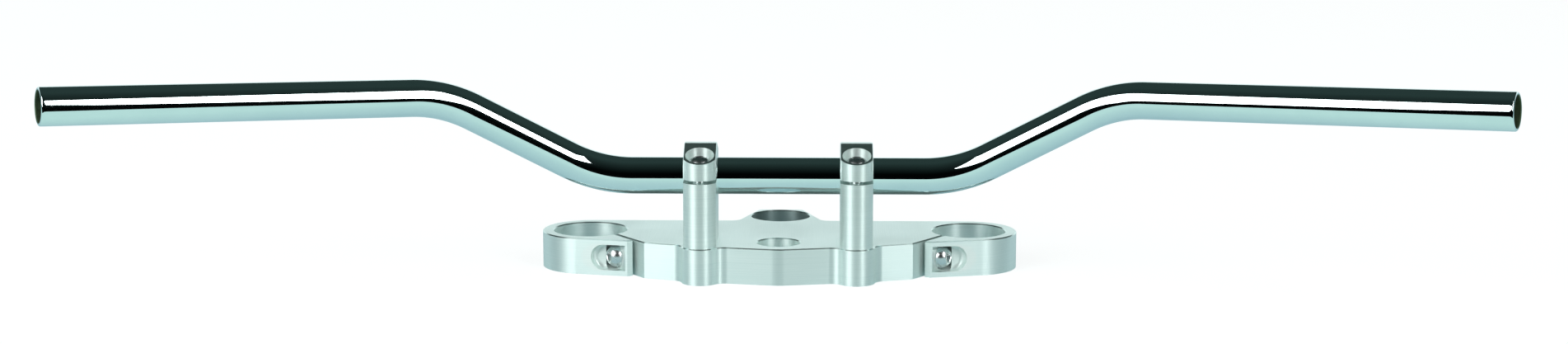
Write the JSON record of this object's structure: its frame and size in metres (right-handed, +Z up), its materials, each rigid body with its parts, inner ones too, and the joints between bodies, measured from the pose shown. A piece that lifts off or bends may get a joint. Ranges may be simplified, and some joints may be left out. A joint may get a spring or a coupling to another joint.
{
  "type": "motorcycle handlebar on risers and top fork yoke",
  "caption": "Bent chrome tube handlebar clamped in risers with bevelled caps on a milled aluminium top fork yoke with split fork clamps, a stem bore and a lock bore.",
  "frame": {"origin": "on the steering-stem bore's axis, at the yoke's underside", "axes": "+X to the rider's right, along the bar; +Y forwards, to the lock bore; +Z up, from the yoke to the bar"},
  "size_m": [0.8266, 0.2343, 0.1327],
  "materials": {
    "chrome_tube": "polished chrome plate",
    "milled_aluminium": "milled and satin, with fine tool lines",
    "screw_steel": "bright turned steel"
  },
  "bodies": {
    "root": {"handlebar_tube": "chrome_tube", "top_yoke": "milled_aluminium", "left_riser": "milled_aluminium", "right_riser": "milled_aluminium", "left_riser_cap": "milled_aluminium", "right_riser_cap": "milled_aluminium", "cap_screws": "screw_steel", "riser_screws": "screw_steel", "pinch_screws": "screw_steel"}
  },
  "joints": []
}
